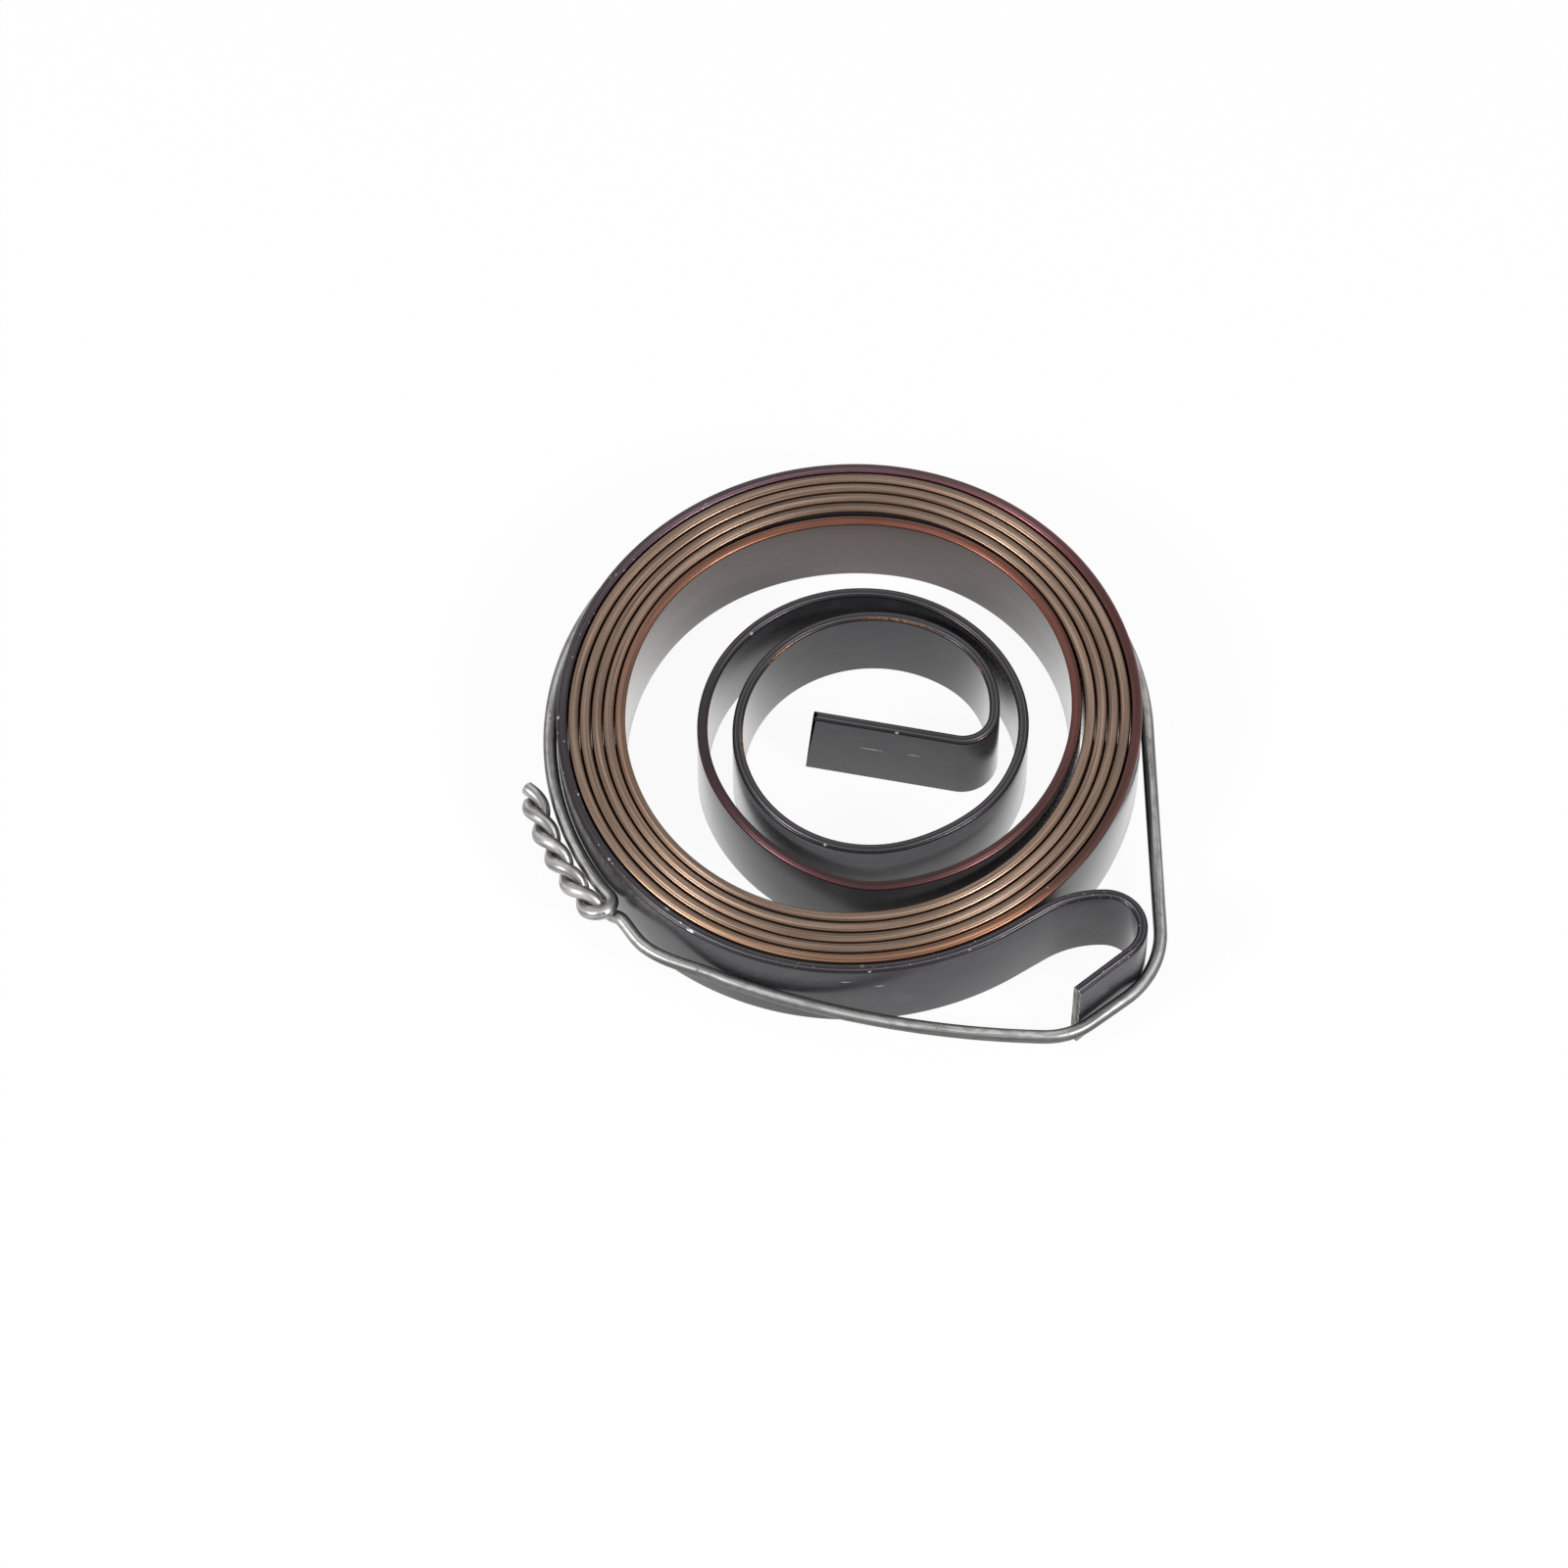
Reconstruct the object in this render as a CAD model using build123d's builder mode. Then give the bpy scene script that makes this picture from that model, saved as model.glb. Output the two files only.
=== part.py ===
from build123d import *
from math import acos, atan, atan2, cos, degrees, pi, radians, sin
import os

# Flat spiral spring of steel strip, lying on its edges, with the wire that keeps it wound.
# Z is the axis of the coil. X runs along the inner tab, from its free end towards its bend.

# Strip
strip_width = 5.6
strip_thickness = 0.6
edge_chamfer = 0.08
pitch = 0.665
lean = 11.0

# Tight coil: quarter turns of two radii in turn, each half a pitch larger after half a turn
tight_radius = 13.0
wide_radius = 13.8
coil_quarters = 21
last_angle = 33.0

# Loose turns, from the coil inwards: radius and angle of each bend
first_lap = [(13.6, 28), (12.6, 37), (14.5, 35), (12.1, 165)]
outer_loop = [(6.0, 22), (11.7, 48), (9.0, 90), (9.3, 92), (7.7, 75)]
inner_loop = [(11.4, 20), (7.5, 90), (7.8, 144), (5.5, 62)]
tab_bend = (1.8, 93)
tab_length = 8.1
tab_slant = 0.6
tab_corner = 0.1

# Outer end: straight run, counter curve, hook and its leg
hook_run = 2.0
hook_bends = [(6.1, 34), (2.1, 139)]
hook_leg = 3.9
leg_slant = 0.1
leg_corner = 0.2

# Tie wire: it hugs the coil, passes round the hook at two corners and comes back along the
# outside, through spots at an angle about the coil and a distance off it
wire_radius = 0.35
wire_gap = 0.04
wire_height = 2.45
tilt_angle = 1.83
hook_gap = 0.71
corner_lead = 1.38
hook_corners = [(4.65, 52.3), (3.0, 40.2)]
hook_flat = 3.2
return_spots = [(254.6, 0.0), (237.2, 0.38), (223.7, 0.39)]

# Twist of the two wire ends: a left-handed rope that runs up beside the left of the coil
twist_polar = 218.2
twist_offset = 1.12
twist_radius = 0.38
twist_pitch = 3.6
strand_a_end = 7.7
strand_b_start = 1.0
strand_b_end = 8.5
rise_angle = 8.0
curl_lift = 0.08
dip_angle = 62.0
dip_depth = 0.38


def turned(x, y, angle):
    return Vector(x, y).rotate(Axis.Z, angle)


# Centreline of the strip, halfway up: outwards and inwards from the start of the tight coil
half_step = (wide_radius - tight_radius) / 2
side_step = half_step - pitch / 4
coil_start = turned(-side_step - tight_radius, -half_step, lean) + Vector(0, 0, strip_width / 2)

with BuildLine() as outward_line:
    point, way = coil_start, turned(0, -1, lean)
    for quarter in range(coil_quarters):
        radius = (tight_radius, wide_radius)[quarter % 2] + quarter // 2 * pitch / 2
        bend = JernArc(point, way, radius, 90)
        point, way = bend @ 1, bend % 1
    radius = (tight_radius, wide_radius)[coil_quarters % 2] + coil_quarters // 2 * pitch / 2
    bend = JernArc(point, way, radius, last_angle)
    run = Line(bend @ 1, (bend @ 1) + (bend % 1) * hook_run)
    point, way = run @ 1, run % 1
    for radius, angle in hook_bends:
        bend = JernArc(point, way, radius, -angle)
        point, way = bend @ 1, bend % 1
    hook_centre = bend.arc_center.rotate(Axis.Z, -lean)
    leg = Line(point, point + way * (hook_leg + leg_slant))

with BuildLine() as inward_line:
    point, way = coil_start, turned(0, 1, lean)
    for radius, angle in first_lap + outer_loop + inner_loop + [tab_bend]:
        bend = JernArc(point, way, radius, -angle)
        point, way = bend @ 1, bend % 1
    tab = Line(point, point + way * (tab_length + tab_slant))

# Strip with broken edges, its two ends sheared at a slant and a little rounded at the top
with BuildPart() as spiral_spring:
    for line in (outward_line, inward_line):
        with BuildSketch(Plane(coil_start, x_dir=turned(1, 0, lean), z_dir=line.wire() % 0)):
            section = Rectangle(strip_thickness, strip_width)
            chamfer(section.vertices(), edge_chamfer)
        sweep(path=line.wire())
    for end, slant, corner in ((tab, tab_slant, tab_corner), (leg, leg_slant, leg_corner)):
        foot = (end @ 1) - Vector(0, 0, strip_width / 2)
        across = (end % 1).rotate(Axis.Z, -90)
        reach = 2 * strip_thickness
        with BuildSketch(Plane(foot, x_dir=end % 1, z_dir=across)):
            with BuildLine():
                Polyline(
                    (0, -reach),
                    (0, 0),
                    (-slant, strip_width - corner),
                    (-slant - corner, strip_width),
                    (-slant - corner, strip_width + reach),
                    (reach, strip_width + reach),
                    (reach, -reach),
                    close=True,
                )
            make_face()
        extrude(amount=reach, both=True, mode=Mode.SUBTRACT)

# Radii of the wire's centreline where it hugs the left, the top and the right of the coil
hug = strip_thickness / 2 + wire_radius + wire_gap
left_hug = tight_radius + (coil_quarters - 1) // 2 * pitch / 2 + hug
top_hug = left_hug - tight_radius + wide_radius - pitch / 2
right_hug = left_hug - pitch / 2
left_centre = Vector(-side_step, -half_step)
right_centre = Vector(side_step, half_step)

# The wire's right side is a tangent to the coil and to a circle round the hook's bend
hook_offset = Vector(hook_centre.X, hook_centre.Y) - right_centre
side_reach = hook_bends[-1][0] + hug + hook_gap
hook_polar = degrees(atan2(hook_offset.Y, hook_offset.X))
leave_angle = hook_polar + degrees(acos((right_hug - side_reach) / hook_offset.length))
side_length = hook_offset.length * sin(radians(leave_angle - hook_polar)) - corner_lead

# The rope's axis is an arc round the coil, and wire A curls back into it off the same centre
rope_radius = left_hug + twist_offset
climb = atan(2 * pi * twist_radius / twist_pitch)
curl_radius = (twist_offset - curl_lift) / (1 + cos(climb))
curl_polar = twist_polar - degrees(curl_radius * sin(climb) / rope_radius)
curl_centre = left_centre + turned(left_hug + curl_lift + curl_radius, 0, curl_polar)
curl_turn = 180 - degrees(climb)
rise_length = radians(curl_polar - twist_polar + rise_angle) * left_hug
curl_length = radians(curl_turn) * curl_radius


# Point of the curl after a part of its turn, and of a strand at a length along the rope
def curl_point(turn, height):
    return curl_centre + turned(curl_radius, 0, curl_polar + 180 - turn) + Vector(0, 0, height)


def rope_point(along, first_phase):
    phase = first_phase + 2 * pi * along / twist_pitch
    out = turned(rope_radius + twist_radius * sin(phase), 0, twist_polar - degrees(along / rope_radius))
    return left_centre + out + Vector(0, 0, twist_radius * cos(phase))


def strand_way(along, first_phase):
    return (rope_point(along + 0.01, first_phase) - rope_point(along - 0.01, first_phase)).normalized()


def strand(start, end, first_phase):
    steps = round((end - start) / twist_pitch * 5)
    spots = [rope_point(start + (end - start) * step / steps, first_phase) for step in range(steps + 1)]
    ways = strand_way(start, first_phase), strand_way(end, first_phase)
    return Spline(*spots, tangents=ways, tangent_scalars=(1, 1))


# Centreline of the whole wire, drawn in the plane of its loop
with BuildLine() as wire_line:
    leave_way = turned(1, 0, leave_angle)
    leave_point = right_centre + leave_way * right_hug
    right = JernArc(leave_point, turned(0, 1, leave_angle), right_hug, 90 - leave_angle)
    top = JernArc(right @ 1, right % 1, top_hug, 90)
    left = JernArc(top @ 1, top % 1, left_hug, twist_polar - rise_angle - 180)
    half_rise = turned(left_hug + curl_lift / 2, 0, (twist_polar - rise_angle + curl_polar) / 2)
    half_height = twist_radius * sin(pi / 4 * rise_length / (rise_length + curl_length))
    over = [left @ 1, left_centre + half_rise + Vector(0, 0, half_height * 0.8)]
    for step in range(5):
        done = (rise_length + step / 5 * curl_length) / (rise_length + curl_length)
        over.append(curl_point(step / 5 * curl_turn, twist_radius * sin(pi / 2 * done)))
    strand_a = strand(0, strand_a_end, 0)
    Spline(*over, strand_a @ 0, tangents=(left % 1, strand_a % 0), tangent_scalars=(1, 1))
    side = Line(leave_point, leave_point + turned(0, -1, leave_angle) * side_length)
    first = JernArc(side @ 1, side % 1, hook_corners[0][0], -hook_corners[0][1])
    flat = Line(first @ 1, (first @ 1) + (first % 1) * hook_flat)
    second = JernArc(flat @ 1, flat % 1, hook_corners[1][0], -hook_corners[1][1])
    strand_b = strand(strand_b_start, strand_b_end, pi)
    back = second
    for polar, gap in return_spots:
        back = TangentArc(back @ 1, left_centre + turned(left_hug + gap, 0, polar), tangent=back % 1)
    under = curl_point(dip_angle, -dip_depth)
    Spline(back @ 1, under, strand_b @ 0, tangents=(back % 1, strand_b % 0), tangent_scalars=(1, 1))

with BuildPart() as level_wire:
    with BuildSketch(Plane(wire_line.wire() @ 0, z_dir=wire_line.wire() % 0)):
        Circle(wire_radius)
    sweep(path=wire_line.wire())

# The loop stands a little higher at the twist than at the hook
with BuildPart() as tie_wire:
    add(level_wire.part.rotate(Axis.Y, tilt_angle).rotate(Axis.Z, lean).translate((0, 0, wire_height)))

spiral_spring.part.label = "spiral_spring"
tie_wire.part.label = "tie_wire"
os.makedirs("parts", exist_ok=True)
export_step(spiral_spring.part, "parts/spiral_spring.step")
export_step(tie_wire.part, "parts/tie_wire.step")
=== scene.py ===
from cmath import exp, phase, rect
from math import acos, atan, ceil, cos, degrees, pi, radians, sin

import bpy
from mathutils import Matrix, Vector


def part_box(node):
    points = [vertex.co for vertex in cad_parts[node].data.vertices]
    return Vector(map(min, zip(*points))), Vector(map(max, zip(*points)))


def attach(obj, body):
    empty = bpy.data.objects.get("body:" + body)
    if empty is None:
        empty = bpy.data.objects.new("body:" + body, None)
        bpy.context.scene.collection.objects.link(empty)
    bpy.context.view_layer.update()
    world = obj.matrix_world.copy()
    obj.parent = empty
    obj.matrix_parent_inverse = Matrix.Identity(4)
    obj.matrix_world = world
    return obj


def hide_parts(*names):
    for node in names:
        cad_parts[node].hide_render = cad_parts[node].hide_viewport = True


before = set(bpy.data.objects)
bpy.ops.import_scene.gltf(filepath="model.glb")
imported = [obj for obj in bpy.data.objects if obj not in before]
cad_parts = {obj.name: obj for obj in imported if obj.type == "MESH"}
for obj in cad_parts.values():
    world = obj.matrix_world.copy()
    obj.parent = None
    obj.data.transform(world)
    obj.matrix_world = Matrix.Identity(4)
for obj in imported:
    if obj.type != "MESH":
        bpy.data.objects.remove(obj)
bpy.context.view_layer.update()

# Spring strip: one length of hardened and tempered steel strip, slit to width, deburred and
# rolled up on its edge. Its laps lie tight together, its free inner turns end in the arbor
# tab and its outer end is bent back into a hook.
MM = 0.001
strip_width = (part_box("spiral_spring")[1].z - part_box("spiral_spring")[0].z) / MM
strip_thickness = 0.6
edge_radius = 0.16
edge_rounding_steps = 6

# The whole spring lies turned by this on its table
lean = 11.0

# The tight coil: quarter turns of a small and a large radius by turns, each pair wider
pitch = 0.665
tight_radius = 13.0
wide_radius = 13.8
coil_quarters = 21
last_angle = 33.0

# Bends of (radius, angle) follow it, inwards to the tab and outwards to the hook
first_lap = [(13.6, 28), (12.6, 37), (14.5, 35), (12.1, 165)]
outer_loop = [(6.0, 22), (11.7, 48), (9.0, 90), (9.3, 92), (7.7, 75)]
inner_loop = [(11.4, 20), (7.5, 90), (7.8, 144), (5.5, 62)]
tab_bend = (1.8, 93)
tab_length = 8.1
tab_slant = 0.6
hook_run = 2.0
hook_bends = [(6.1, 34), (2.1, 139)]
hook_leg = 3.9
leg_slant = 0.1


def follow(start, way, bends, stride=0.4, widest_turn=4.0):
    """The points of a plan line that leaves start in the direction way and takes (radius, angle)
    bends, left turns positive, and its way at the end. A bend with no angle is a straight run
    of that length."""
    points = [start]
    for radius, angle in bends:
        length = radius * abs(radians(angle)) if angle else radius
        steps = ceil(max(length / stride, abs(angle) / widest_turn))
        turn = radians(angle) / steps
        chord = 2 * radius * sin(abs(turn) / 2) if angle else radius / steps
        for _ in range(steps):
            points.append(points[-1] + way * exp(1j * turn / 2) * chord)
            way *= exp(1j * turn)
    return points, way


# The quarter turns of the tight coil have four centres, these steps off its middle
half_step = (wide_radius - tight_radius) / 2
side_step = half_step - pitch / 4
leaning = exp(1j * radians(lean))
coil_start = complex(-side_step - tight_radius, -half_step) * leaning
outward_bends = []
for quarter in range(coil_quarters + 1):
    radius = (tight_radius, wide_radius)[quarter % 2] + quarter // 2 * pitch / 2
    outward_bends.append((radius, 90 if quarter < coil_quarters else last_angle))
outward_bends += [(hook_run, 0)] + [(radius, -angle) for radius, angle in hook_bends]
outward_bends.append((hook_leg + leg_slant, 0))
inner_bends = first_lap + outer_loop + inner_loop + [tab_bend]
inward_bends = [(radius, -angle) for radius, angle in inner_bends]
inward_bends.append((tab_length + tab_slant, 0))


def at_height(spot, height=0.0):
    """A place in the plan, as a point at that height."""
    return Vector((spot.real, spot.imag, height))


def half_strip(way, bends):
    """The middle line of the strip, one way from the start of the tight coil."""
    spots, _ = follow(coil_start, way * leaning, bends)
    return [at_height(spot, strip_width / 2) for spot in spots]


def lengths(points):
    """How far each point lies along the line from its first."""
    run = [0.0]
    for before, after in zip(points, points[1:]):
        run.append(run[-1] + (after - before).length)
    return run


def drawn_line(name, points, numbers):
    """An object of short edges through the points, with its numbers kept on them by name."""
    mesh = bpy.data.meshes.new(name)
    edges = [(i, i + 1) for i in range(len(points) - 1)]
    mesh.from_pydata([point * MM for point in points], edges, [])
    for title, values in numbers.items():
        mesh.attributes.new(title, "FLOAT", "POINT").data.foreach_set("value", values)
    line = bpy.data.objects.new(name, mesh)
    bpy.context.scene.collection.objects.link(line)
    return line


# Lengths along the strip count outwards from the start of the tight coil, in millimetres
outward = half_strip(-1j, outward_bends)
inward = half_strip(1j, inward_bends)
strip_points = outward[::-1] + inward[1:]
strip_along = lengths(outward)[::-1] + [-run for run in lengths(inward)[1:]]
strip_slant = [leg_slant] + [0.0] * (len(strip_points) - 2) + [-tab_slant]
strip_numbers = {"along": strip_along, "slant": strip_slant}
spring_strip = drawn_line("spring_strip", strip_points, strip_numbers)


class Wired:
    """A socket of a node tree. Sums on it add Math nodes, and add() puts in any other node."""

    def __init__(self, tree, socket=None):
        self.tree, self.socket = tree, socket

    def add(self, kind, settings=None, values=None, output=None):
        made = self.tree.nodes.new(kind)
        for name, value in (settings or {}).items():
            if name == "stops":
                ramp = made.color_ramp
                while len(ramp.elements) < len(value):
                    ramp.elements.new(0.5)
                for element, (place, colour) in zip(ramp.elements, value):
                    element.position = place
                    element.color = colour
            else:
                setattr(made, name, value)
        for name, value in (values or {}).items():
            socket = next(s for s in made.inputs if name in (s.identifier, s.name) and s.enabled)
            if isinstance(value, Wired):
                self.tree.links.new(value.socket, socket)
            else:
                socket.default_value = value
        outputs = {s.identifier: s for s in made.outputs}
        outputs.update({s.name: s for s in made.outputs if s.enabled})
        return Wired(self.tree, outputs[output] if output else next(iter(made.outputs), None))

    def sum(self, operation, *terms):
        named = dict(zip(("Value", "Value_001"), terms))
        return self.add("ShaderNodeMath", {"operation": operation}, named)

    def __add__(self, other):
        return self.sum("ADD", self, other)

    def __sub__(self, other):
        return self.sum("SUBTRACT", self, other)

    def __rsub__(self, other):
        return self.sum("SUBTRACT", other, self)

    def __mul__(self, other):
        return self.sum("MULTIPLY", self, other)

    def __truediv__(self, other):
        return self.sum("DIVIDE", self, other)

    def __abs__(self):
        return self.sum("ABSOLUTE", self)

    __radd__, __rmul__ = __add__, __mul__

    def coordinate(self, axis):
        """One coordinate of this place, in millimetres."""
        return self.add("ShaderNodeSeparateXYZ", {}, {"Vector": self}, axis) / MM

    def step(self, low, high):
        """0 below low and 1 above high, or the other way round, with a soft step between."""
        limits = {"Value": self, "From Min": low, "From Max": high}
        soft = {"interpolation_type": "SMOOTHSTEP"}
        return self.add("ShaderNodeMapRange", soft, limits, "Result")

    def near(self, centre, reach):
        """1 at the centre, falling to 0 at reach on either side."""
        return abs(self - centre).step(reach, 0.0)

    def mix(self, low, high):
        """From colour low to colour high as this value goes from 0 to 1."""
        colours = {"Factor_Float": self, "A_Color": low, "B_Color": high}
        return self.add("ShaderNodeMix", {"data_type": "RGBA"}, colours, "Result_Color")

    def times(self, strength):
        """This colour, that much lighter or darker."""
        grey = (strength, strength, strength, 1.0)
        colours = {"Factor_Float": 1.0, "A_Color": self, "B_Color": grey}
        product = {"data_type": "RGBA", "blend_type": "MULTIPLY"}
        return self.add("ShaderNodeMix", product, colours, "Result_Color")

    def noise(self, x, y, z, detail=2.0):
        """Noise from 0 to 1 over three coordinates, about one patch in each unit."""
        place = self.add("ShaderNodeCombineXYZ", {}, {"X": x, "Y": y, "Z": z})
        values = {"Vector": place, "Scale": 1.0, "Detail": detail}
        return self.add("ShaderNodeTexNoise", {}, values)


def drawn_section(line, sizes, section_shape, normals, material, sharp_angle=40):
    """Draws a section out along the line, with the section's places kept on the mesh by name."""
    tree = bpy.data.node_groups.new(line.name + "_form", "GeometryNodeTree")
    sockets = tree.interface
    sockets.new_socket("Geometry", in_out="INPUT", socket_type="NodeSocketGeometry")
    keys = {}
    for name in sizes:
        socket = sockets.new_socket(name, in_out="INPUT", socket_type="NodeSocketFloat")
        keys[name] = socket.identifier
    sockets.new_socket("Geometry", in_out="OUTPUT", socket_type="NodeSocketGeometry")
    start = Wired(tree)
    entry = tree.nodes.new("NodeGroupInput")
    inputs = {name: Wired(tree, entry.outputs[name]) for name in ["Geometry", *sizes]}
    place = start.add("GeometryNodeInputPosition")

    def keep(geometry, name, value):
        settings = {"data_type": "FLOAT_VECTOR", "domain": "POINT"}
        values = {"Geometry": geometry, "Name": name, "Value": value}
        return start.add("GeometryNodeStoreNamedAttribute", settings, values)

    def kept(name, data_type):
        settings = {"data_type": data_type}
        return start.add("GeometryNodeInputNamedAttribute", settings, {"Name": name})

    curve = start.add("GeometryNodeMeshToCurve", {}, {"Mesh": inputs["Geometry"]})
    curve = start.add("GeometryNodeSetCurveNormal", {"mode": normals}, {"Curve": curve})
    curve = keep(curve, "way", start.add("GeometryNodeInputTangent"))
    section = keep(section_shape(start, inputs), "section", place)
    drawn = {"Curve": curve, "Profile Curve": section, "Fill Caps": True}
    body = start.add("GeometryNodeCurveToMesh", {}, drawn)

    # A sheared end slants: its points move along the line by more, the higher they stand
    slide = kept("slant", "FLOAT") * place.coordinate("Z") * (MM / strip_width)
    scaled = {"Vector": kept("way", "FLOAT_VECTOR"), "Scale": slide}
    shift = start.add("ShaderNodeVectorMath", {"operation": "SCALE"}, scaled)
    body = start.add("GeometryNodeSetPosition", {}, {"Geometry": body, "Offset": shift})
    body = start.add("GeometryNodeSetShadeSmooth", {}, {"Geometry": body})
    body = start.add("GeometryNodeRealizeInstances", {}, {"Geometry": body})
    body = start.add("GeometryNodeSetMaterial", {}, {"Geometry": body, "Material": material})
    leave = tree.nodes.new("NodeGroupOutput")
    tree.links.new(body.socket, leave.inputs["Geometry"])
    form = line.modifiers.new("form", "NODES")
    form.node_group = tree
    for name, size in sizes.items():
        form[keys[name]] = size * MM
    shown = line.evaluated_get(bpy.context.evaluated_depsgraph_get())
    mesh = bpy.data.meshes.new_from_object(shown)
    line.modifiers.remove(form)
    line.data = mesh
    mesh.set_sharp_from_angle(angle=radians(sharp_angle))


def strip_section(start, inputs):
    """The strip cut across: a tall thin oblong with rounded corners."""
    sides = {"Width": inputs["Thickness"], "Height": inputs["Width"]}
    oblong = start.add("GeometryNodeCurvePrimitiveQuadrilateral", {}, sides)
    rounding = {"Curve": oblong, "Radius": inputs["Edge radius"], "Count": edge_rounding_steps}
    return start.add("GeometryNodeFilletCurve", {"mode": "POLY"}, rounding)


def paint(red, green, blue):
    """A colour from its usual numbers of 0 to 255, as the shaders take it."""
    return tuple((part / 255) ** 2.2 for part in (red, green, blue)) + (1.0,)


def new_finish(name):
    """An empty material and the start of its node tree."""
    material = bpy.data.materials.new(name)
    material.use_nodes = True
    material.node_tree.nodes.clear()
    return material, Wired(material.node_tree)


# Heat from the temper left each stretch of the slit edges its own colour: bare inner turns
# nearly black, one stretch wine, the first lap brick, the tight laps taupe, the last lap
# crimson to violet and black again. The rounded rims of each edge took it deeper.
edge_colours = [
    (-163, paint(56, 54, 57)),
    (-77, paint(56, 54, 57)),
    (-70, paint(60, 46, 48)),
    (-58, paint(58, 40, 41)),
    (-46, paint(80, 54, 54)),
    (-36, paint(98, 62, 55)),
    (-22, paint(112, 72, 60)),
    (-8, paint(114, 82, 68)),
    (8, paint(128, 109, 96)),
    (376, paint(128, 109, 96)),
    (388, paint(134, 106, 86)),
    (398, paint(130, 96, 76)),
    (404, paint(80, 56, 50)),
    (422, paint(74, 46, 44)),
    (440, paint(88, 72, 74)),
    (462, paint(67, 63, 66)),
    (482, paint(55, 53, 57)),
    (518, paint(52, 50, 56)),
]
rim_colours = [
    (-163, paint(42, 40, 42)),
    (-76, paint(42, 40, 42)),
    (-69, paint(68, 41, 44)),
    (-46, paint(78, 48, 48)),
    (-36, paint(110, 60, 50)),
    (-8, paint(128, 86, 66)),
    (8, paint(118, 95, 79)),
    (376, paint(118, 95, 79)),
    (392, paint(122, 90, 70)),
    (399, paint(138, 92, 66)),
    (404, paint(84, 56, 50)),
    (430, paint(92, 50, 54)),
    (446, paint(90, 63, 74)),
    (462, paint(62, 54, 64)),
    (482, paint(42, 40, 44)),
    (518, paint(40, 38, 44)),
]
# The flat faces are dark from the rolls, paler with a brown tint on the first lap, and painted
# paler between the two loops as painted light
face_colours_and_painted_light = [
    (-163, paint(48, 48, 51)),
    (-130, paint(48, 48, 51)),
    # Painted light: the faces between the two loops are made paler, where the loops shade them
    (-121, paint(108, 107, 110)),
    (-108, paint(100, 99, 102)),
    (-98, paint(48, 48, 51)),
    (-60, paint(50, 50, 52)),
    (-44, paint(94, 86, 82)),
    (-24, paint(80, 69, 65)),
    (-6, paint(97, 87, 83)),
    (20, paint(50, 49, 50)),
    (490, paint(48, 48, 51)),
    (518, paint(36, 34, 42)),
]
# Where a finish begins and where it is full, as lengths along the strip
bare_turns = (-77.0, -80.0)
bare_hook = (478.0, 486.0)
specks_begin = (440.0, 456.0)
violet_begins = (513.5, 515.0)
# The same for the slit edges, as depths below their tops, then their crown's height, and how
# far the finish of the two sheared ends reaches along the strip
edge_depths = (0.17, 0.1)
edge_crown = 0.07
cut_depth = 0.03
# Handling marks on the faces: how far along, how high, and half their length and height
scratches = [
    (-158.8, 3.3, 0.9, 0.06),
    (-156.4, 3.4, 0.5, 0.05),
    (493.4, 4.5, 0.42, 0.05),
    (495.3, 3.9, 0.35, 0.05),
]
# Nicks, and orange patches, on the edges: how far along, how far off the middle, half their length
nicks = [
    (-157.4, -0.26, 0.14),
    (-81.6, 0.2, 0.14),
    (-118.6, -0.2, 0.12),
    (403.0, 0.1, 0.08),
    (468.0, -0.2, 0.16),
    (473.2, 0.2, 0.14),
    (477.8, -0.1, 0.12),
    (482.4, 0.15, 0.25),
    (484.3, -0.2, 0.3),
    (494.3, 0.1, 0.2),
]
orange_edge_patches = [(-141.5, 0.2, 3.2), (-134.0, 0.25, 1.6), (-147.7, 0.27, 0.7), (-127.0, 0.25, 2.0)]


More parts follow.
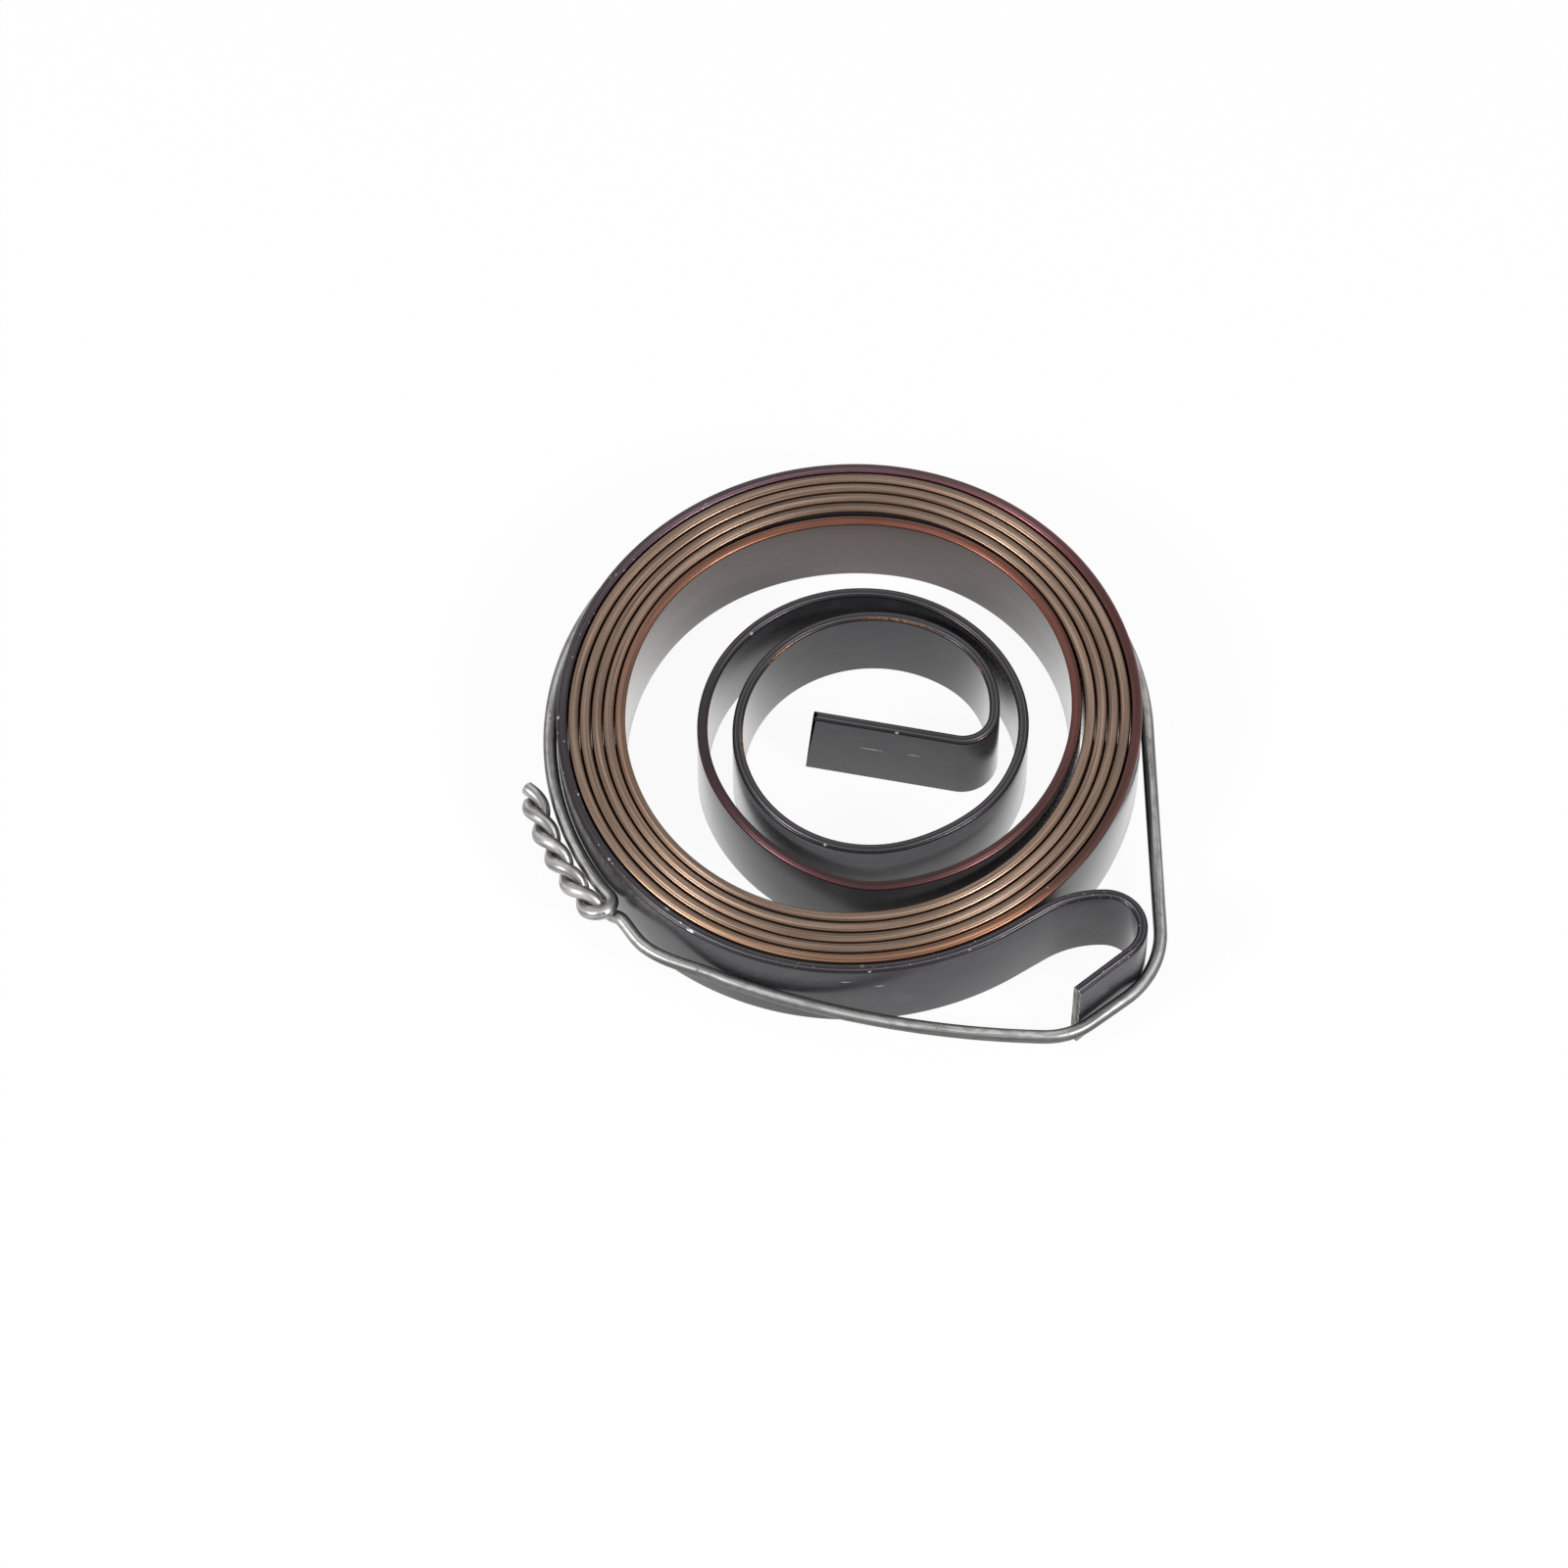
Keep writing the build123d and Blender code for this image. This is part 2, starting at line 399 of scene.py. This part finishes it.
def strip_steel():
    """The strip's finish: dark rolled faces, and slit edges in the colours of the temper."""
    material, start = new_finish("spring_strip")
    along = start.add("ShaderNodeAttribute", {"attribute_name": "along"}, {}, "Fac")
    section = start.add("ShaderNodeAttribute", {"attribute_name": "section"}, {}, "Vector")
    through = section.coordinate("X")
    height = start.add("ShaderNodeTexCoord", {}, {}, "Object").coordinate("Z")
    middle = strip_width / 2
    edge = abs(height - middle).step(middle - edge_depths[0], middle - edge_depths[1])
    off_middle = abs(through)
    first_stop, last_stop = edge_colours[0][0], edge_colours[-1][0]
    part = (along - first_stop) / (last_stop - first_stop)

    def along_strip(colours):
        stops = [((run - first_stop) / (last_stop - first_stop), shade) for run, shade in colours]
        return start.add("ShaderNodeValToRGB", {"stops": stops}, {"Fac": part})

    def edge_marks(places, reach):
        marks = sum(along.near(run, long) * through.near(side, reach) for run, side, long in places)
        return marks * edge

    # Slit edges: fine lines lengthwise, deeper at the rims, with a grain of small pits. Painted
    # highlights and painted shade lie on the rims
    lines = start.noise(along * 0.1, through * 11.0, height * 2.0, 4.0)
    grain = start.noise(along * 8.0, through * 12.0, 1.0)
    drift = start.noise(along * 0.12, through * 2.5, 5.0)
    bare = along.step(*bare_turns) + along.step(*bare_hook)
    edge_colour = off_middle.step(0.1, 0.2).mix(along_strip(edge_colours), along_strip(rim_colours))
    edge_colour = (lines.step(0.5, 0.68) * 0.6).mix(edge_colour, paint(58, 46, 41))
    edge_colour = (lines.step(0.48, 0.34) * 0.4).mix(edge_colour, edge_colour.times(2.2))
    # Painted highlight: two thin pale lines near the rims of the bare turns' edges
    edge_colour = (off_middle.near(0.12, 0.045) * bare * 0.6).mix(edge_colour, paint(116, 113, 116))
    edge_colour = drift.step(0.35, 0.65).mix(edge_colour.times(0.85), edge_colour.times(1.2))
    edge_colour = (grain.step(0.56, 0.7) * 0.4).mix(edge_colour, paint(48, 42, 40))
    # Painted shade: the outermost rims are darkened, as in the shaded narrow gaps between laps
    edge_colour = (off_middle.step(0.262, 0.3) * 0.75).mix(edge_colour, paint(50, 40, 36))

    # Flat faces: rolled dark, with painted light between the loops, faint lines and clouds, and a
    # violet line near the hook's end
    rolling = start.noise(along * 0.08, height * 8.0, 0.0, 4.0)
    clouds = start.noise(along * 0.5, height * 0.6, 3.0)
    violet = along.step(*violet_begins) * height.near(strip_width - 0.45, 0.12)
    face_colour = along_strip(face_colours_and_painted_light)
    face_colour = (rolling.step(0.4, 0.75) * 0.4).mix(face_colour, paint(50, 50, 52))
    face_colour = (clouds.step(0.45, 0.75) * 0.3).mix(face_colour, paint(74, 72, 72))
    face_colour = (violet * 0.6).mix(face_colour, paint(70, 62, 122))

    # A mark as thin as a hair leans across the face of the first lap
    hair = (along + height * 0.57).near(-6.05, 0.09) * height.near(1.8, 1.2)
    face_colour = (hair * 0.8).mix(face_colour, paint(20, 19, 19))

    # Handling left bright scratches, nicks and specks; the inner turns' edges carry orange-copper
    # patches
    worn = start.noise(along * 6.0, height * 9.0, through * 9.0)
    marks = [along.near(run, long) * height.near(up, tall) for run, up, long, tall in scratches]
    bright = (sum(marks) + edge_marks(nicks, 0.09)) * worn.step(0.3, 0.5)
    speck = start.noise(along * 3.5, through * 7.0, height * 5.0).step(0.68, 0.74)
    speck = speck * edge * along.step(*specks_begin) * 0.6
    colour = edge.mix(face_colour, edge_colour)
    orange_patch_mask = edge_marks(orange_edge_patches, 0.1) * worn.step(0.35, 0.6)
    colour = (orange_patch_mask * 0.7).mix(colour, paint(176, 122, 84))
    colour = start.sum("MINIMUM", bright + speck, 1.0).mix(colour, paint(206, 205, 206))

    # Sheared ends: bare metal, torn in slanting lines
    hook_end, tab_end = strip_along[0], strip_along[-1]
    sheared = along.step(hook_end - cut_depth, hook_end) + along.step(tab_end + cut_depth, tab_end)
    tears = start.noise(through * 1.5, height * 7.0 + through * 8.0, 2.0).step(0.45, 0.56)
    colour = sheared.mix(colour, tears.mix(paint(36, 35, 35), paint(142, 139, 136)))

    # The edges are crowned a little, so a lamp's glint spreads over them
    crown = off_middle.step(0.2, 0.0) * edge_crown
    rolled = rolling * (1 - edge) * 0.0006
    raised = {"Strength": 1.0, "Distance": MM, "Height": crown + lines * edge * 0.002 + rolled}
    relief = start.add("ShaderNodeBump", {}, raised)

    # Seen at a low angle, the oiled faces shine
    facing = start.add("ShaderNodeLayerWeight", {}, {"Blend": 0.5}, "Facing")
    surface = start.add(
        "ShaderNodeBsdfPrincipled",
        {},
        {
            "Base Color": colour,
            "Metallic": start.sum("MAXIMUM", edge, sheared) * 0.92 + 0.08,
            "Roughness": 0.24 + lines * edge * 0.1 + clouds * 0.06 + sheared * 0.1,
            "Coat Weight": facing.step(0.55, 0.9) * (1 - edge) + edge * 0.3,
            "Coat Roughness": 0.2,
            "Normal": relief,
        },
    )
    start.add("ShaderNodeOutputMaterial", {}, {"Surface": surface})
    return material


strip_sizes = {"Thickness": strip_thickness, "Width": strip_width, "Edge radius": edge_radius}
drawn_section(spring_strip, strip_sizes, strip_section, "Z_UP", strip_steel())
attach(spring_strip, "root")
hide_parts("spiral_spring")

# Tie wire: one length of soft zinc-coated wire that holds the spring wound. It is laid round
# the coil and the hook by hand, and its two ends are twisted into a short rope at the left.
wire_radius = 0.39
wire_sides = 20
wire_gap = 0.03
wire_height = 2.64
tilt_angle = 1.83
wire_stride = 0.2

# Round the hook: a corner, a flat and a corner, the corners as (radius, angle)
hook_gap = 0.486
corner_lead = 1.59
hook_corners = [(5.54, 53.4), (4.2, 39.1)]
hook_flat = 2.54

# The way back along the coil, past spots of (angle round the coil, how far off it)
return_spots = [(247.05, 0.005), (245.0, 0.02)]
return_bulge = (229.5, 0.72)
return_dive = (222.96, 0.4)

# The rope of two strands, which starts at an angle round the coil and bends with it
twist_polar = 217.87
twist_offset = 1.196
twist_radius = 0.396
twist_pitch = 3.6
twist_phase = 72.0
twist_lean = 0.17
strand_a_end = 8.0
strand_b_start = 0.14
strand_b_end = 8.6
strand_stride = 0.1

# Strand a rises and curls over into the rope, and strand b dips under it
rise_angle = 4.44
rise_steps = 12
curl_lift = 0.024
curl_steps = 16
dip_angle = 59.2
dip_out = 0.009
dip_depth = 0.574
dip_climb = 4.15

# How far the wire's middle lies from the strip's, and from the coil's centres where it hugs it
hug = strip_thickness / 2 + wire_radius + wire_gap
left_hug = tight_radius + (coil_quarters - 1) // 2 * pitch / 2 + hug
top_hug = left_hug - tight_radius + wide_radius - pitch / 2
right_hug = left_hug - pitch / 2
left_centre = complex(-side_step, -half_step)
right_centre = -left_centre

# The curl's size and place follow from the rope, so that strand a runs into it without a kink
rope_radius = left_hug + twist_offset
phase_a = radians(twist_phase)
climb = atan(2 * pi * twist_radius * cos(phase_a) / twist_pitch)
curl_radius = (twist_offset + twist_radius * sin(phase_a) - curl_lift) / (1 + cos(climb))
curl_polar = twist_polar - degrees(curl_radius * sin(climb) / rope_radius)
curl_centre = left_centre + rect(left_hug + curl_lift + curl_radius, radians(curl_polar))
curl_turn = 180 - degrees(climb)
rise_length = radians(curl_polar - twist_polar + rise_angle) * left_hug
curl_length = radians(curl_turn) * curl_radius


def rope_point(run, first_phase):
    """A strand's point at a length along the rope, which bends round the coil."""
    turn = first_phase + 2 * pi * run / twist_pitch
    polar = radians(twist_polar) - run / rope_radius
    reach = rope_radius + twist_lean * (run / strand_b_end) ** 2 + twist_radius * sin(turn)
    return at_height(left_centre + rect(reach, polar), twist_radius * cos(turn))


def strand(first, last, first_phase):
    """A strand's points between two lengths along the rope."""
    steps = round((last - first) / strand_stride)
    stride = (last - first) / steps
    return [rope_point(first + stride * step, first_phase) for step in range(steps + 1)]


def curl_spot(turn, out=0.0):
    """The plan place that far round the curl, and that much outside it."""
    return curl_centre + rect(curl_radius + out, radians(curl_polar + 180 - turn))


def beside_coil(polar, gap):
    """A plan place at an angle round the coil, that far outside where the wire hugs it."""
    return left_centre + rect(left_hug + gap, radians(polar))


def eased(start, start_way, end, end_way, steps=12):
    """The points after start of a smooth curve to end, with its direction at both."""
    reach = (end - start).length
    points = []
    for step in range(1, steps + 1):
        t = step / steps
        point = start * (2 * t**3 - 3 * t**2 + 1) + end * (3 * t**2 - 2 * t**3)
        point += start_way.normalized() * reach * (t**3 - 2 * t**2 + t)
        points.append(point + end_way.normalized() * reach * (t**3 - t**2))
    return points


# The side runs straight down from the coil, at a tangent to a circle round the hook's bend
to_hook, hook_way = follow(coil_start, -1j * leaning, outward_bends[:-2])
hook_centre = (to_hook[-1] - 1j * hook_way * hook_bends[-1][0]) / leaning
hook_offset = hook_centre - right_centre
side_reach = hook_bends[-1][0] + hug + hook_gap
side_turn = acos((right_hug - side_reach) / abs(hook_offset))
leave_way = rect(1, phase(hook_offset) + side_turn)
side_length = abs(hook_offset) * sin(side_turn) - corner_lead
leave_point = right_centre + leave_way * right_hug
over_top = [
    (right_hug, 90 - degrees(phase(leave_way))),
    (top_hug, 90),
    (left_hug, twist_polar - rise_angle - 180),
]
hugging, _ = follow(leave_point, 1j * leave_way, over_top, wire_stride)
(first_corner, first_turn), (second_corner, second_turn) = hook_corners
round_hook = [
    (side_length, 0),
    (first_corner, -first_turn),
    (hook_flat, 0),
    (second_corner, -second_turn),
]
back, back_way = follow(leave_point, -1j * leave_way, round_hook, wire_stride)
for polar, gap in return_spots:
    chord = beside_coil(polar, gap) - back[-1]
    turn = 2 * phase(chord / back_way)
    bend = (abs(chord) / 2 / sin(abs(turn) / 2), degrees(turn))
    bent, back_way = follow(back[-1], back_way, [bend], wire_stride)
    back += bent[1:]

# Strand a climbs by an even wave, whose last stretch already winds as the rope does
wound = phase_a / (2 * pi) * twist_pitch / cos(atan(2 * pi * twist_radius / twist_pitch))
climbing = rise_length + curl_length - wound


def over_height(left):
    """The height of strand a before the rope, by the length left to where the rope starts."""
    if left < wound:
        return twist_radius * cos(phase_a * (1 - left / wound))
    return twist_radius * (1 + cos(pi * (left - wound) / climbing)) / 2


over = []
for step in range(1, rise_steps + 1):
    rise = step / rise_steps
    polar = twist_polar - rise_angle + degrees(rise * rise_length / left_hug)
    spot = beside_coil(polar, curl_lift * rise * rise * (3 - 2 * rise))
    over.append(at_height(spot, over_height(curl_length + (1 - rise) * rise_length)))
for step in range(1, curl_steps + 1):
    curl = step / curl_steps
    over.append(at_height(curl_spot(curl * curl_turn), over_height((1 - curl) * curl_length)))
strand_a = strand(0, strand_a_end, phase_a)
strand_b = strand(strand_b_start, strand_b_end, phase_a + pi)
dip = at_height(curl_spot(dip_angle, dip_out), -dip_depth)
bulge, dive = at_height(beside_coil(*return_bulge)), at_height(beside_coil(*return_dive))
bulge_way = at_height(-1j * rect(1, radians(return_bulge[0])))
dip_way = strand_b[0] - dive
dip_way.z *= dip_climb
under = eased(at_height(back[-1]), at_height(back_way), bulge, bulge_way)
under += eased(bulge, bulge_way, dive, dive - bulge)
under += eased(dive, dive - bulge, dip, dip_way)
under += eased(dip, dip_way, strand_b[0], strand_b[1] - strand_b[0])
flat_run = [at_height(spot) for spot in hugging[::-1] + back[1:]]
route = (over + strand_a[1:])[::-1] + flat_run + under + strand_b[1:]

# The whole way is drawn flat, then tilted, turned with the spring and lifted into place
laid = (
    Matrix.Translation((0, 0, wire_height))
    @ Matrix.Rotation(radians(lean), 4, "Z")
    @ Matrix.Rotation(radians(tilt_angle), 4, "Y")
)
route = [laid @ point for point in route]
tie_wire = drawn_line("twisted_tie_wire", route, {"along": lengths(route)})

# Lengths along the wire where the laid part, with painted shade on its lower side, begins and ends
underside_shade_begins = (12.0, 18.0)
underside_shade_ends = (127.0, 121.0)


def wire_section(start, inputs):
    """The wire cut across: a plain round."""
    sizes = {"Resolution": wire_sides, "Radius": inputs["Radius"]}
    return start.add("GeometryNodeCurvePrimitiveCircle", {}, sizes)


def wire_zinc():
    """The wire's finish: a matt zinc coat with fine streaks, spangle and pits, and painted shade
    along the lower side of its laid part.
    """
    material, start = new_finish("tie_wire")
    along = start.add("ShaderNodeAttribute", {"attribute_name": "along"}, {}, "Fac")
    section = start.add("ShaderNodeAttribute", {"attribute_name": "section"}, {}, "Vector")
    across, upward = section.coordinate("X"), section.coordinate("Y")
    streaks = start.noise(along * 0.2, across * 7.0, upward * 7.0, 4.0)
    spangle = start.noise(along * 1.6, across * 2.5, upward * 2.5, 4.0)
    pits = start.noise(along * 4.0, across * 5.0, upward * 5.0).step(0.67, 0.74)
    colour = streaks.step(0.32, 0.64).mix(paint(122, 121, 119), paint(188, 187, 186))
    colour = (spangle.step(0.46, 0.62) * 0.4).mix(colour, paint(106, 106, 104))
    colour = (pits * 0.7).mix(colour, paint(58, 57, 55))

    # Painted shade: along its laid part, the wire's lower side is coloured darker than its top
    place = start.add("ShaderNodeTexCoord", {}, {}, "Object")
    x, y, z = [place.coordinate(axis) for axis in "XYZ"]
    sideways = x * cos(radians(lean)) + y * sin(radians(lean))
    above = (z + sideways * sin(radians(tilt_angle)) - wire_height) / wire_radius
    painted_underside_shade = above.step(0.88, 0.62) * along.step(*underside_shade_begins) * along.step(*underside_shade_ends)
    colour = (painted_underside_shade * (0.5 + streaks * 0.4)).mix(colour, paint(76, 76, 76))
    height = streaks * 0.7 + spangle * 0.6 - pits * 0.5
    raised = {"Strength": 0.5, "Distance": 0.03 * MM, "Height": height}
    surface = start.add(
        "ShaderNodeBsdfPrincipled",
        {},
        {
            "Base Color": colour,
            "Metallic": 1.0,
            "Roughness": 0.3 + spangle * 0.2 + pits * 0.2,
            "Normal": start.add("ShaderNodeBump", {}, raised),
        },
    )
    start.add("ShaderNodeOutputMaterial", {}, {"Surface": surface})
    return material


drawn_section(tie_wire, {"Radius": wire_radius}, wire_section, "MINIMUM_TWIST", wire_zinc())
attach(tie_wire, "root")
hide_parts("tie_wire")

# Table: a large sheet of plain white paper under the spring, in a white room. Both are full
# white where they are looked at, straight or in the metal, and otherwise give a softer light.
paper_size = 3.0
paper_white = 0.85
paper_glow = 0.94
room_light = 0.4
bpy.ops.mesh.primitive_plane_add(size=paper_size)
table = bpy.context.object
table.name = "table"


def looked_at(start):
    """1 where the camera looks, straight or in a reflection, and 0 where light is gathered."""
    kinds = ("Camera", "Glossy", "Transmission")
    rays = [start.add("ShaderNodeLightPath", {}, {}, f"Is {kind} Ray") for kind in kinds]
    return start.sum("MINIMUM", sum(rays), 1.0)


def white(start, kind, strength=1.0):
    """A white glow, as an emission or a background."""
    return start.add(kind, {}, {"Color": (1, 1, 1, 1), "Strength": strength})


paper, start = new_finish("white_paper")
off_white = (paper_white, paper_white, paper_white, 1)
sheet = start.add("ShaderNodeBsdfDiffuse", {}, {"Color": off_white})
glow = white(start, "ShaderNodeEmission")
shown = {"Fac": looked_at(start) * paper_glow, "Shader": sheet, "Shader_001": glow}
shown = start.add("ShaderNodeMixShader", {}, shown)
start.add("ShaderNodeOutputMaterial", {}, {"Surface": shown})
table.data.materials.append(paper)

world = bpy.context.scene.world or bpy.data.worlds.new("room")
bpy.context.scene.world = world
world.use_nodes = True
world.node_tree.nodes.clear()
start = Wired(world.node_tree)
room = white(start, "ShaderNodeBackground", room_light)
bright_room = white(start, "ShaderNodeBackground")
shown = {"Fac": looked_at(start), "Shader": room, "Shader_001": bright_room}
shown = start.add("ShaderNodeMixShader", {}, shown)
start.add("ShaderNodeOutputWorld", {}, {"Surface": shown})

# Soft boxes: two small lamps with white cloth fronts, half a metre off. They stand in front of
# the spring, left and right, and put a glint on every lap.
box_distance = 0.5
box_elevation = 37
box_size = 0.1
box_watts = 1.6


def stand_off(thing, azimuth, elevation, distance, aim=Vector()):
    """Puts a lamp or a camera at a distance from its aim, turned to it. The azimuth counts from
    the spring's own right hand side."""
    around, up = radians(azimuth + lean), radians(elevation)
    away = Vector((cos(around) * cos(up), sin(around) * cos(up), sin(up)))
    bpy.context.scene.collection.objects.link(thing)
    thing.location = aim + away * distance
    thing.rotation_mode = "QUATERNION"
    thing.rotation_quaternion = away.to_track_quat("Z", "Y")


for side, azimuth in (("left", 209), ("right", -37)):
    lamp = bpy.data.lights.new("soft_box_" + side, "AREA")
    lamp.size = box_size
    lamp.energy = box_watts
    soft_box = bpy.data.objects.new(lamp.name, lamp)
    stand_off(soft_box, azimuth, box_elevation, box_distance)

# Camera: a long lens on a stand, half a metre off. It stands in front of the spring, square to
# its hook side, and looks down at it at sixty degrees.
view_aim = Vector((-2.906, -5.459, 5.6)) * MM
view_distance = 0.5
view_azimuth = -90
view_elevation = 59.9
lens = bpy.data.cameras.new("camera")
lens.lens = 202.5
lens.sensor_width = 36.0
camera = bpy.data.objects.new("camera", lens)
stand_off(camera, view_azimuth, view_elevation, view_distance, view_aim)
bpy.context.scene.camera = camera
bpy.context.scene.view_settings.view_transform = "Standard"
